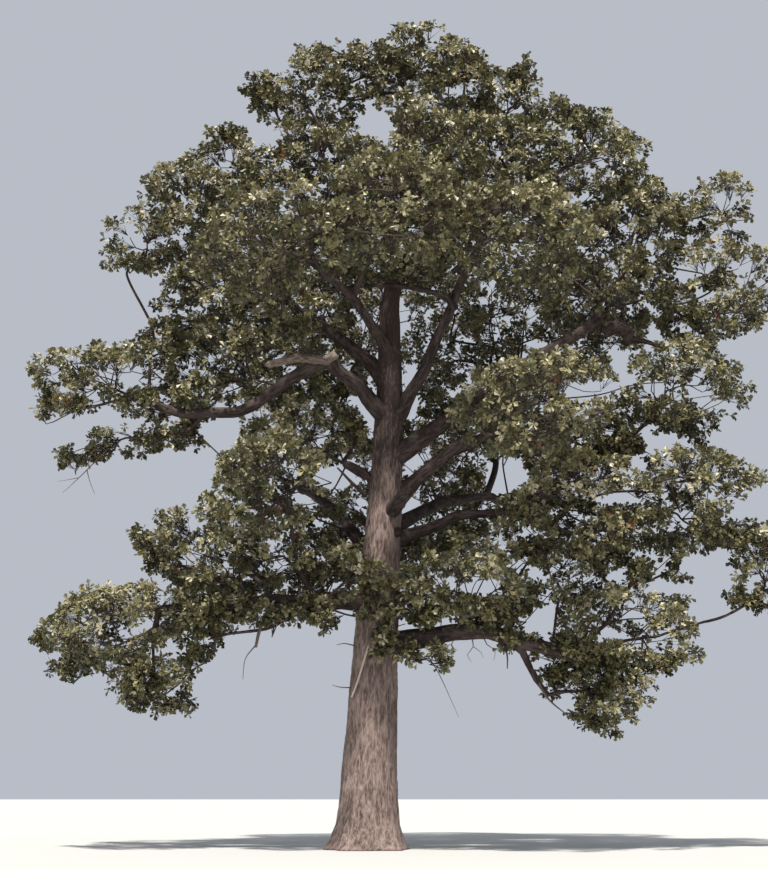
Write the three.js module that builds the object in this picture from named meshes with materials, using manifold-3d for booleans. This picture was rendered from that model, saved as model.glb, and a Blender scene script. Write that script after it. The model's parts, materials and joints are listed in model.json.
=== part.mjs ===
// Open-grown oak tree in full leaf: trunk, main boughs and masses of foliage.
// Millimetres, +Z up, +X to the tree's right, +Y to its back.
// The origin is the middle of the flat cut under the trunk, at ground level.

import * as THREE from 'three';
import { mergeVertices } from 'three/addons/utils/BufferGeometryUtils.js';
import Module from 'manifold-3d';

const METRE = 1000;

// Trunk
const TRUNK_LENGTH = 15.9 * METRE; // ground to the tip inside the heart of the crown
const TRUNK_FOOT_RADIUS = 0.745 * METRE; // of the straight taper, without the flare
const TRUNK_TAPER = 0.0345; // radius lost per unit of height
const FLARE_WIDTH = 0.27 * METRE; // extra radius of the root flare at the ground
const FLARE_HEIGHT = 0.5 * METRE; // height in which the flare falls to a third
const FLARE_LOBES = 5;
const FLARE_LOBE_DEPTH = 0.3; // of the flare width
const LEAN = 0.55 * METRE; // to the right, reached at LEAN_HEIGHT
const LEAN_HEIGHT = 12.5 * METRE;
const SWAY = 0.12 * METRE; // to the back, half way up
const TRUNK_SIDES = 15;
const TRUNK_RINGS = 14;

// Boughs
const BOUGH_SIDES = 6;
const BOUGH_RINGS = 6;
const SECOND_RISE = 0.45; // of the rise, at the second bend
const COLLAR_GROWTH = 0.45; // extra radius where a bough leaves the trunk
const COLLAR_REACH = 0.16; // of the bough's length, in which the collar falls to a third

// Foliage
const SMALL_MASS = 1.3; // metres of half width, under which a mass has fewer facets
const LOBES_PER_MASS = 10;
const LOBE_HEIGHT = 0.26; // of the radius
const LOBE_SHARPNESS = 9;
const UNDERSIDE = 0.84; // underside height over top height

// Clearances
const MASS_GAP = 1.2; // between neighbouring masses, and from a mass to the trunk
const CUT_GAP = 1; // from the end of a limb to the piece that it meets
const MASS_GROWTH = 1.002; // scale of a mass where it cuts a limb

const BARK = { color: 0x7d6b60, roughness: 0.95, metalness: 0 };
const LEAF_TONES = [0x4f5a2c, 0x59652f, 0x475228, 0x616c36];

// Main boughs, in metres. Each leaves its parent at a height on the trunk, or at a fraction
// along another bough, and ends at [right, back, height]. It bends at the fraction bend,
// where rise lifts and swing turns it away from the straight line, and again half way from
// there to its end, where dip lowers it. root and tip are its radii.
const BOUGHS = [
  { name: 'left_low_bough', height: 6.1, end: [-5.2, -0.5, 5.9], bend: 0.5, rise: 0.1, swing: -0.3,
    dip: 0, root: 0.24, tip: 0.13 },
  { name: 'right_low_bough', height: 5.0, end: [6.0, -0.5, 4.6], bend: 0.42, rise: 0.5, swing: 0.35,
    dip: 0, root: 0.28, tip: 0.15 },
  { name: 'right_low_fork', parent: 'right_low_bough', along: 0.56, end: [5.1, 0.1, 3.4],
    bend: 0.5, rise: -0.25, swing: -0.1, dip: 0, root: 0.1, tip: 0.05 },
  { name: 'left_mid_bough', height: 10.9, end: [-5.7, -0.6, 11.2], bend: 0.27, rise: 1.3, swing: -0.9,
    dip: 0.75, root: 0.23, tip: 0.12 },
  { name: 'left_mid_stub', parent: 'left_mid_bough', along: 0.31, end: [-2.7, -2.0, 11.85],
    bend: 0.5, rise: 0.15, swing: 0, dip: 0, root: 0.14, tip: 0.1 },
  { name: 'left_inner_bough', height: 9.2, end: [-2.1, 0.6, 10.4], bend: 0.5, rise: 0.1, swing: 0,
    dip: 0, root: 0.15, tip: 0.09 },
  { name: 'left_high_bough', height: 12.1, end: [-3.4, 0.5, 14.8], bend: 0.5, rise: 0.3, swing: 0.1,
    dip: 0, root: 0.19, tip: 0.11 },
  { name: 'right_steep_bough', height: 10.7, end: [3.2, -0.8, 16.2], bend: 0.4, rise: -0.5, swing: 0.1,
    dip: 0, root: 0.17, tip: 0.1 },
  { name: 'right_mid_bough', height: 8.9, end: [4.1, 0.1, 11.0], bend: 0.5, rise: 0.1, swing: 0.1,
    dip: 0, root: 0.15, tip: 0.08 },
  { name: 'right_shelf_bough', height: 7.6, end: [4.3, 0.2, 8.7], bend: 0.5, rise: 0.22, swing: -0.1,
    dip: 0, root: 0.17, tip: 0.1 },
  { name: 'right_high_bough', height: 9.8, end: [6.3, -0.8, 13.6], bend: 0.62, rise: 0.1, swing: 0.3,
    dip: 0, root: 0.22, tip: 0.15 },
  { name: 'front_left_bough', height: 12.7, end: [-1.9, -4.3, 14.2], bend: 0.5, rise: 0.2, swing: -0.3,
    dip: 0, root: 0.14, tip: 0.08 },
  { name: 'front_right_bough', height: 8.3, end: [3.7, -4.3, 10.1], bend: 0.5, rise: 0.3, swing: 0.2,
    dip: 0, root: 0.17, tip: 0.09 },
  { name: 'back_left_bough', height: 7.2, end: [-2.7, 4.7, 10.6], bend: 0.5, rise: 0.1, swing: 0.2,
    dip: 0, root: 0.2, tip: 0.11 },
  { name: 'back_right_bough', height: 8.0, end: [4.3, 5.0, 9.9], bend: 0.5, rise: 0.35, swing: -0.2,
    dip: 0, root: 0.2, tip: 0.11 },
  { name: 'back_low_bough', height: 6.6, end: [0.7, 3.9, 8.0], bend: 0.5, rise: 0.1, swing: 0.2,
    dip: 0, root: 0.16, tip: 0.1 },
];

// Masses of foliage, in metres: name, centre [right, back, height] and half sizes
// [width, depth, height]. The first one takes the tip of the trunk.
const MASSES = [
  ['upper_heart', [0.7, 0.8, 16.7], [2.1, 2.7, 2.0]],
  ['upper_left_heart', [-1.8, -0.7, 17.2], [1.9, 2.6, 1.8]],
  ['upper_right_heart', [3.4, -0.3, 17.6], [2.1, 2.8, 1.9]],
  ['crown_top', [1.8, 0.1, 20.45], [2.15, 2.4, 1.35]],
  ['top_left_tuft', [-1.45, 0.3, 20.35], [1.75, 1.9, 1.2]],
  ['top_right_tuft', [4.0, 0.7, 20.15], [1.2, 1.8, 1.15]],
  ['back_top', [2.2, 3.4, 19.0], [2.1, 2.2, 1.6]],
  ['front_upper', [1.2, -3.2, 16.8], [2.0, 1.9, 1.4]],
  ['left_shoulder', [-4.5, -0.4, 16.5], [1.75, 2.6, 1.25]],
  ['left_shoulder_tuft', [-3.85, 0.3, 18.05], [1.1, 1.7, 0.9]],
  ['left_shoulder_tip', [-6.0, -0.3, 15.8], [1.05, 1.6, 0.85]],
  ['left_skirt', [-3.7, 0.7, 14.3], [2.15, 2.7, 1.4]],
  ['front_left_shoulder', [-2.2, -4.6, 14.2], [1.9, 2.0, 1.4]],
  ['front_shoulder', [0.7, -5.6, 14.6], [1.8, 2.0, 1.4]],
  ['front_right_shoulder', [3.5, -4.8, 14.3], [2.0, 2.0, 1.4]],
  ['right_shoulder', [5.85, 0.3, 17.7], [1.8, 2.6, 1.85]],
  ['right_tuft', [9.9, 0.0, 16.7], [0.85, 1.3, 1.35]],
  ['right_skirt', [6.9, 0.2, 15.15], [2.3, 2.9, 1.95]],
  ['right_skirt_tip', [9.2, -0.1, 14.4], [2.0, 2.3, 1.45]],
  ['back_left_high', [-2.9, 4.9, 15.4], [2.65, 2.45, 2.35]],
  ['back_high', [1.2, 6.9, 15.4], [2.4, 2.3, 2.7]],
  ['back_right_high', [5.4, 5.2, 15.1], [2.7, 2.4, 2.4]],
  ['left_shelf', [-3.7, 0.9, 12.4], [2.5, 2.6, 1.45]],
  ['left_shelf_tip', [-6.6, -0.3, 11.75], [2.1, 2.2, 1.05]],
  ['left_droop', [-5.85, -0.3, 10.35], [1.6, 1.0, 0.65]],
  ['left_inner', [-1.95, 0.9, 9.9], [1.5, 1.8, 1.9]],
  ['front_left_mid', [-2.3, -2.9, 8.5], [1.5, 2.3, 1.25]],
  ['back_left_mid', [-2.6, 5.4, 11.2], [2.0, 2.0, 2.0]],
  ['right_shelf', [5.2, 0.5, 10.95], [2.3, 2.8, 1.35]],
  ['right_shelf_tip', [8.15, -0.1, 11.7], [1.6, 2.2, 1.2]],
  ['right_low_shelf', [5.6, -0.2, 8.6], [2.3, 2.9, 1.5]],
  ['right_low_shelf_tip', [8.7, 0.3, 8.65], [2.1, 2.4, 1.35]],
  ['right_far_droop', [10.2, -0.2, 6.95], [0.85, 1.1, 1.15]],
  ['front_right_mid', [4.1, -4.45, 10.15], [1.85, 1.9, 1.25]],
  ['back_right_mid', [4.0, 5.6, 10.9], [2.5, 2.1, 2.0]],
  ['left_low', [-3.55, 0.2, 7.25], [3.0, 2.7, 1.1]],
  ['left_low_tip', [-6.25, -0.2, 5.35], [2.6, 2.2, 1.1]],
  ['left_low_droop', [-5.3, 0.1, 4.05], [1.25, 1.4, 0.9]],
  ['right_low', [4.6, 0.7, 6.9], [2.4, 2.5, 1.2]],
  ['right_low_tip', [6.35, -0.2, 5.3], [1.65, 2.1, 1.25]],
  ['right_low_droop', [5.95, 0.1, 3.6], [1.15, 1.4, 0.9]],
  ['front_low', [2.25, -1.6, 6.4], [1.5, 1.8, 0.95]],
  ['back_low', [0.7, 5.0, 9.4], [2.5, 2.4, 2.5]],
];

const wasm = await Module();
wasm.setup();

const smoothstep = (value) => THREE.MathUtils.smoothstep(value, 0, 1);

function seededRandom(seed) {
  let state = seed;
  return () => {
    state = (state * 1664525 + 1013904223) % 4294967296;
    return state / 4294967296;
  };
}

// Closed loft through rings of equal length, with a flat cap at each end.
function loft(rings) {
  const sides = rings[0].length;
  const positions = rings.flat().flatMap((point) => point.toArray());
  const faces = [];
  for (let ring = 0; ring < rings.length - 1; ring += 1) {
    for (let side = 0; side < sides; side += 1) {
      const a = ring * sides + side;
      const b = ring * sides + ((side + 1) % sides);
      faces.push(a, b, b + sides, a, b + sides, a + sides);
    }
  }
  const last = (rings.length - 1) * sides;
  for (let side = 1; side < sides - 1; side += 1) {
    faces.push(0, side + 1, side);
    faces.push(last, last + side, last + side + 1);
  }
  const geometry = new THREE.BufferGeometry();
  geometry.setAttribute('position', new THREE.Float32BufferAttribute(positions, 3));
  geometry.setIndex(faces);
  return geometry;
}

function toSolid(geometry) {
  const plain = geometry.clone();
  plain.deleteAttribute('normal');
  plain.deleteAttribute('uv');
  const merged = mergeVertices(plain, 1e-3);
  return new wasm.Manifold(new wasm.Mesh({
    numProp: 3,
    vertProperties: new Float32Array(merged.attributes.position.array),
    triVerts: new Uint32Array(merged.index.array),
  }));
}

function toGeometry(solid) {
  const mesh = solid.getMesh();
  const geometry = new THREE.BufferGeometry();
  geometry.setAttribute('position', new THREE.BufferAttribute(mesh.vertProperties, 3));
  geometry.setIndex(new THREE.BufferAttribute(mesh.triVerts, 1));
  return geometry;
}

// Trunk

function trunkAxis(height) {
  const right = LEAN * smoothstep(height / LEAN_HEIGHT);
  const back = SWAY * Math.sin((Math.PI * height) / TRUNK_LENGTH);
  return new THREE.Vector3(right, back, height);
}

function trunkRadius(height, angle) {
  const lobes = 1 - FLARE_LOBE_DEPTH * Math.cos(FLARE_LOBES * angle + 0.7);
  const flare = FLARE_WIDTH * lobes * Math.exp(-height / FLARE_HEIGHT);
  return TRUNK_FOOT_RADIUS - TRUNK_TAPER * height + flare;
}

// Rings stand close together in the flare and further apart above it.
function trunkGeometry(growth) {
  const rings = [];
  for (let ring = 0; ring <= TRUNK_RINGS; ring += 1) {
    const height = TRUNK_LENGTH * (ring / TRUNK_RINGS) ** 1.7;
    const centre = trunkAxis(height);
    const points = [];
    for (let side = 0; side < TRUNK_SIDES; side += 1) {
      const angle = (2 * Math.PI * side) / TRUNK_SIDES;
      const radius = trunkRadius(height, angle) + growth;
      const offset = new THREE.Vector3(Math.cos(angle), Math.sin(angle), 0);
      points.push(offset.multiplyScalar(radius).add(centre));
    }
    rings.push(points);
  }
  return loft(rings);
}

// Boughs

function boughCurve(bough, curves) {
  const start = bough.parent
    ? curves.get(bough.parent).getPoint(bough.along)
    : trunkAxis(bough.height * METRE);
  const end = new THREE.Vector3(...bough.end).multiplyScalar(METRE);
  const run = end.clone().sub(start);
  const sideways = new THREE.Vector3(run.y, -run.x, 0).normalize();
  const bentPoint = (along, swing, rise) => start.clone().lerp(end, along)
    .addScaledVector(sideways, swing * METRE)
    .add(new THREE.Vector3(0, 0, rise * METRE));
  const first = bentPoint(bough.bend, bough.swing, bough.rise);
  const secondSwing = bough.swing * SECOND_RISE;
  const second = bentPoint((1 + bough.bend) / 2, secondSwing, bough.rise * SECOND_RISE - bough.dip);
  return new THREE.CatmullRomCurve3([start, first, second, end]);
}

function boughRadius(bough, along) {
  const taper = THREE.MathUtils.lerp(bough.root, bough.tip, along ** 0.8);
  const collar = COLLAR_GROWTH * bough.root * Math.exp(-along / COLLAR_REACH);
  return (taper + collar) * METRE;
}

function boughGeometry(bough, curve, growth) {
  const frames = curve.computeFrenetFrames(BOUGH_RINGS, false);
  const rings = [];
  for (let ring = 0; ring <= BOUGH_RINGS; ring += 1) {
    const along = ring / BOUGH_RINGS;
    const centre = curve.getPointAt(along);
    const radius = boughRadius(bough, along) + growth;
    const points = [];
    for (let side = 0; side < BOUGH_SIDES; side += 1) {
      const angle = (2 * Math.PI * side) / BOUGH_SIDES;
      points.push(centre.clone()
        .addScaledVector(frames.normals[ring], radius * Math.cos(angle))
        .addScaledVector(frames.binormals[ring], radius * Math.sin(angle)));
    }
    rings.push(points);
  }
  return loft(rings);
}

// Foliage

// Radius of an uneven mass in a direction from its centre: an ellipsoid with rounded
// lobes, and with its underside drawn in.
function massRadius(direction, half, lobes) {
  const below = direction.z < 0 ? UNDERSIDE : 1;
  const scaled = new THREE.Vector3(
    direction.x / half[0],
    direction.y / half[1],
    direction.z / (half[2] * below),
  );
  let swell = 1 - LOBE_HEIGHT * 0.4;
  for (const lobe of lobes) {
    swell += LOBE_HEIGHT * Math.exp(-LOBE_SHARPNESS * (1 - direction.dot(lobe)));
  }
  return (METRE * swell) / scaled.length();
}

function lobeDirections(seed) {
  const random = seededRandom(seed);
  const lobes = [];
  for (let count = 0; count < LOBES_PER_MASS; count += 1) {
    const height = 2 * random() - 1;
    const angle = 2 * Math.PI * random();
    const flat = Math.sqrt(1 - height * height);
    lobes.push(new THREE.Vector3(flat * Math.cos(angle), flat * Math.sin(angle), height));
  }
  return lobes;
}

// Planes, as { normal, reach } from the mass's centre, that no point of the mass passes:
// one towards each neighbour, and one towards the trunk.
function massLimits(index, trunkPoints) {
  const [, centre, half] = MASSES[index];
  const here = new THREE.Vector3(...centre).multiplyScalar(METRE);
  const limits = [];
  MASSES.forEach(([, otherCentre, otherHalf], other) => {
    if (other !== index) {
      const normal = new THREE.Vector3(...otherCentre).multiplyScalar(METRE).sub(here);
      const distance = normal.length();
      normal.normalize();
      const mine = massRadius(normal, half, []);
      const theirs = massRadius(normal.clone().negate(), otherHalf, []);
      limits.push({ normal, reach: (distance * mine) / (mine + theirs) - MASS_GAP / 2 });
    }
  });
  if (index > 0) {
    const axis = trunkAxis(here.z);
    const normal = new THREE.Vector3(axis.x - here.x, axis.y - here.y, 0).normalize();
    const span = half[2] * 1.3 * METRE;
    const near = trunkPoints
      .filter((point) => Math.abs(point.z - here.z) < span)
      .map((point) => point.clone().sub(here).dot(normal));
    if (near.length > 0) {
      limits.push({ normal, reach: Math.min(...near) - MASS_GAP });
    }
  }
  return limits;
}

function massGeometry(index, trunkPoints) {
  const [, centre, half] = MASSES[index];
  const here = new THREE.Vector3(...centre).multiplyScalar(METRE);
  const lobes = lobeDirections(index * 7919 + 17);
  const limits = massLimits(index, trunkPoints);
  const sphere = half[0] < SMALL_MASS
    ? new THREE.OctahedronGeometry(1, 3)
    : new THREE.IcosahedronGeometry(1, 2);
  sphere.deleteAttribute('normal');
  sphere.deleteAttribute('uv');
  const geometry = mergeVertices(sphere, 1e-4);
  const position = geometry.attributes.position;
  for (let vertex = 0; vertex < position.count; vertex += 1) {
    const direction = new THREE.Vector3().fromBufferAttribute(position, vertex).normalize();
    let radius = massRadius(direction, half, lobes);
    for (const { normal, reach } of limits) {
      const slope = direction.dot(normal);
      if (slope > 0) {
        radius = Math.min(radius, reach / slope);
      }
    }
    const point = direction.multiplyScalar(radius).add(here);
    position.setXYZ(vertex, point.x, point.y, point.z);
  }
  return geometry;
}

function scaledAbout(geometry, centre, scale) {
  const [x, y, z] = centre.map((value) => value * METRE);
  return geometry.clone().translate(-x, -y, -z).scale(scale, scale, scale).translate(x, y, z);
}

// Assembly

function largestPiece(solid) {
  return solid.decompose().sort((a, b) => b.volume() - a.volume())[0];
}

function addNode(tree, name, geometry, finish) {
  const flat = geometry.toNonIndexed();
  flat.computeVertexNormals();
  const mesh = new THREE.Mesh(flat, new THREE.MeshStandardMaterial({ ...finish, flatShading: true }));
  mesh.name = name;
  tree.add(mesh);
}

function buildTree() {
  const tree = new THREE.Group();

  const trunkSamples = trunkGeometry(0);
  const trunkPoints = [];
  for (let vertex = 0; vertex < trunkSamples.attributes.position.count; vertex += 1) {
    trunkPoints.push(new THREE.Vector3().fromBufferAttribute(trunkSamples.attributes.position, vertex));
  }
  const masses = MASSES.map(([name, centre], index) => {
    const geometry = massGeometry(index, trunkPoints);
    return { name, geometry, cutter: toSolid(scaledAbout(geometry, centre, MASS_GROWTH)) };
  });

  const trunk = largestPiece(toSolid(trunkSamples).subtract(masses[0].cutter));
  addNode(tree, 'trunk', toGeometry(trunk), BARK);

  const curves = new Map();
  const cutters = [toSolid(trunkGeometry(CUT_GAP)), ...masses.map((mass) => mass.cutter)];
  for (const bough of BOUGHS) {
    const curve = boughCurve(bough, curves);
    curves.set(bough.name, curve);
    let limb = toSolid(boughGeometry(bough, curve, 0));
    for (const cutter of cutters) {
      limb = limb.subtract(cutter);
    }
    addNode(tree, bough.name, toGeometry(largestPiece(limb)), BARK);
    cutters.push(toSolid(boughGeometry(bough, curve, CUT_GAP)));
  }

  masses.forEach(({ name, geometry }, index) => {
    const color = LEAF_TONES[index % LEAF_TONES.length];
    addNode(tree, name, geometry, { color, roughness: 0.85, metalness: 0 });
  });
  return tree;
}

export default buildTree();
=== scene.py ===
"""An open-grown oak in full leaf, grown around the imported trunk, boughs and masses of foliage."""

import json
import math

import bpy
import numpy as np
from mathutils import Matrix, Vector, noise
from mathutils.bvhtree import BVHTree

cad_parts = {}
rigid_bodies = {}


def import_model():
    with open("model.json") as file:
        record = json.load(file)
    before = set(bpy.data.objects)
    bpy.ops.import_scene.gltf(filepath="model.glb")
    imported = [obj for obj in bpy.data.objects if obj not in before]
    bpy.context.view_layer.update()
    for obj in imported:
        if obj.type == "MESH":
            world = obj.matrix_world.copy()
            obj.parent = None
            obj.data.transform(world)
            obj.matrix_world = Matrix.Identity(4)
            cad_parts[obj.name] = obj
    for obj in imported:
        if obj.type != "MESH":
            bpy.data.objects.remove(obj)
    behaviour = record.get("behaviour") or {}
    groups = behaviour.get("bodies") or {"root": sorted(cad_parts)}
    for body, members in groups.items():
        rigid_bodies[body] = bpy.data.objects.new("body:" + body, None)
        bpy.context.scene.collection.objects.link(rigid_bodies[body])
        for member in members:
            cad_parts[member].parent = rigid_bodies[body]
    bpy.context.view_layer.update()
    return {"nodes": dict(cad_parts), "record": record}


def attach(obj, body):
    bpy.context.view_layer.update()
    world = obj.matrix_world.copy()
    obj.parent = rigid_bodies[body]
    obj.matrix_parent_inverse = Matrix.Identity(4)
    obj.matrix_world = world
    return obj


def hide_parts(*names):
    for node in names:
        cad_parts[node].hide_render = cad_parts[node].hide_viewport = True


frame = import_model()

SEED = 20
UP = np.array([0.0, 0.0, 1.0])

# Leaves and their clumps, in metres
LEAF_LENGTH = (0.14, 0.20)
LEAF_WIDTH = 0.66  # of the length
LEAF_BENDS = [(0.35, 0.10), (0.15, 0.22), (0.55, 0.02)]  # fold along the rib, curl of the tip
LEAF_TURN = 2.4  # radians from one leaf of a whorl to the next
LEAVES_PER_SPRAY = 6
SPRAYS_PER_CLUMP = 13.2  # in a clump of middling radius
FEWEST_SPRAYS = 4
MIDDLING_RADIUS = 0.46
CLUMP_RADIUS = (0.34, 0.58)
CLUMP_SPACING = 0.56
CLUMP_SHAPE = np.array([1.15, 1.15, 0.85])
CLUMP_HANG = 0.1  # how far below its middle a clump's branch comes in
LIMB_CLUMP_RADIUS = (0.24, 0.42)
LIMB_CLUMP_FULLNESS = 1.15
INNER_SPACING = 1.0
INNER_SHARE = 0.42  # of the sprays, in a clump deep inside a mass
INNER_REACH = 0.62  # of the way out to the mass's skin
TWIG_ROOT = 0.010

# How the clumps lie in the shell of a mass: tries per square metre, in metres where they
# are lengths, and the share that is kept where two masses meet and under a mass
SHELL_TRIES, INNER_TRIES, RELAY_TRIES = 9, 3, 2
NEIGHBOUR_REACH = 6.5
HIDDEN_GAP, HIDDEN_KEPT = 0.12, 0.6
UNDERSIDE, UNDERSIDE_KEPT = -0.55, 0.45
LUMP_HEIGHT, LUMP_SCALE = 0.20, 0.85
SHELL_DEPTH = 0.12  # of the way out

# Branching
RELAY_SPACING = 0.9
RELAY_REACH = 0.7  # of the way out to the mass's skin
PATH_WEIGHT = 0.35  # how much a long way back to the trunk counts against a new branch
TURN_WEIGHT = 0.85  # how much a sharp turn counts
PIPE_POWER = 2.35
TIP_RADIUS = 0.011
FINEST_RADIUS = 0.8 * TIP_RADIUS
CHILD_RADIUS = 0.9  # the most, of its parent's
LOWEST_BRANCH = 4.2  # height on the trunk
BARE_ROOT = 0.15  # of a bough's length, where nothing grows on it
RELAX_ROUNDS = 3
STUB = "left_mid_stub"  # broken off and weathered pale

# The leader, which the trunk grows into above its solid
LEADER_LENGTH = 2.9
LEADER_STEPS = 6
LEADER_BEND = np.array([0.12, 0.048, 0.0])
LEADER_TAPER = 0.70

# Tubes, in metres: steps along them and sides around them
TRUNK_STEP, TRUNK_SIDES = 0.055, 132
BOUGH_STEP, BOUGH_SIDES = 0.085, 18
BRANCH_STEP, BRANCH_SIDES, BRANCH_CROOK = 0.16, 9, 0.07
BRANCHLET_STEP, BRANCHLET_SIDES, BRANCHLET_CROOK = 0.3, 5, 0.09
THICK_BRANCH = 0.045  # radius of a branch that is more than a branchlet
BOUGH_BEND, BOUGH_WAVE = 0.10, 0.9
FLARE_FADE = 0.55  # height over which the trunk's lobes fade
FLARE_LOBES = [(0.09, 5, 0.7 + math.pi), (0.03, 9, 1.1)]  # height, number and turn

# Bark relief: depth, spacing around and length along, in metres, and swelling in radii
TRUNK_RELIEF = (0.026, 0.085, 0.5)
BOUGH_RELIEF = (0.012, 0.07, 0.4, 0.11)
SIDE_LIMB_RELIEF = (0.006, 0.07, 0.4)
BURL_RELIEF = (0.03, 0.10, 0.2)
KNOB_RELIEF = (0.02, 0.08, 0.2)
PLAIN_FURROW = 0.62  # tone of a branch too slim for relief

# Camera, in metres from the trunk's foot, and degrees
CAMERA_PLACE = (0.40, -38.4, 1.32)
CAMERA_PITCH = 13.51
CAMERA_LENS = 62.1
SENSOR = 36.0

# Painted shade: the trunk's bark tone darkens from one height to another, in metres, for the
# crown's shade on it
SHADE_START, SHADE_FULL = 8.8, 11.5
SHADE_DEPTH = 0.95

SUN_DIRECTION = (0.10, 0.58, -1.10)  # from high over the camera's shoulder

# Openings in the crown through which the sky shows, in metres on the upright plane through
# the trunk, as seen from the camera: right, height, half width, half height
SKY_GAPS = [
    (0.1, 19.45, 0.58, 0.52), (-2.95, 19.1, 0.55, 0.4), (-2.6, 21.1, 0.48, 0.28),
    (-6.4, 16.1, 0.42, 0.14), (-6.6, 14.95, 0.7, 0.28),
    (-6.7, 12.15, 0.75, 0.24), (-5.55, 12.15, 0.25, 0.24), (-7.4, 11.75, 0.26, 0.18),
    (-7.1, 10.95, 0.85, 0.32), (-3.8, 10.6, 0.48, 0.62), (-3.4, 11.15, 0.85, 0.2),
    (-1, 9.4, 0.5, 0.42), (-1.75, 8.85, 0.32, 0.26), (-0.5, 9.45, 0.22, 0.36),
    (0.82, 13.55, 0.24, 0.56), (1.1, 12.05, 0.34, 0.24), (1.2, 9.8, 0.26, 0.24),
    (1.1, 8.5, 0.36, 0.3), (3.6, 9.5, 0.64, 0.58), (5.65, 11.7, 0.6, 0.38),
    (6.85, 12, 0.36, 0.28), (7.6, 11.8, 0.34, 0.34), (9, 11.4, 0.48, 0.2),
    (6.7, 8.85, 0.42, 0.26), (6.1, 8.75, 0.3, 0.18), (9.9, 8.6, 0.5, 0.34),
    (9.3, 10.5, 0.5, 0.28), (9.8, 10.2, 0.52, 0.42), (9.75, 12.95, 0.5, 0.35),
    (8.45, 14.95, 0.22, 0.4), (9.1, 15.1, 0.26, 0.2), (8.65, 17.65, 0.5, 0.32),
    (9.25, 15.7, 0.35, 0.12), (2.9, 6.45, 0.6, 0.26), (10.7, 16.6, 0.3, 0.35),
    (4.5, 5.9, 0.42, 0.22), (6.35, 6.8, 0.34, 0.26), (-6.9, 5, 0.34, 0.1),
    (-5.45, 4.85, 0.2, 0.22), (7.6, 6.45, 0.64, 0.24), (5.05, 3.6, 0.26, 0.3),
    (6.55, 3, 0.32, 0.2), (9, 6.75, 0.32, 0.5), (9.45, 11.3, 0.35, 0.25),
    (-4.25, 4.05, 0.3, 0.42), (-8.5, 6.05, 0.52, 0.45), (-6.9, 4.1, 0.42, 0.28),
    (-8.35, 13.1, 0.8, 0.3), (-6.3, 9.8, 0.45, 0.24), (1.05, 22.72, 1.1, 0.36),
    (5.3, 20.7, 0.4, 0.25), (7.75, 19.35, 0.4, 0.3), (-7.15, 6.75, 0.6, 0.2),
    (8.45, 7.15, 0.45, 0.32), (6.95, 3.3, 0.32, 0.28), (-3.7, 21.2, 0.4, 0.3),
    (10.4, 15.05, 0.22, 0.16), (-4.22, 9.6, 0.3, 0.52), (-5.25, 8.7, 0.46, 0.18),
    (-8.1, 4.85, 0.45, 0.12), (10.65, 17.7, 0.3, 0.3), (2.75, 13.1, 0.22, 0.18),
    (-6.8, 13.25, 0.5, 0.2), (-7.6, 6.6, 0.5, 0.16), (-9.2, 5.3, 0.35, 0.3),
    (8.75, 5.05, 0.25, 0.2), (10.25, 12.3, 0.28, 0.42), (5.3, 5.95, 0.2, 0.18),
]

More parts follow.
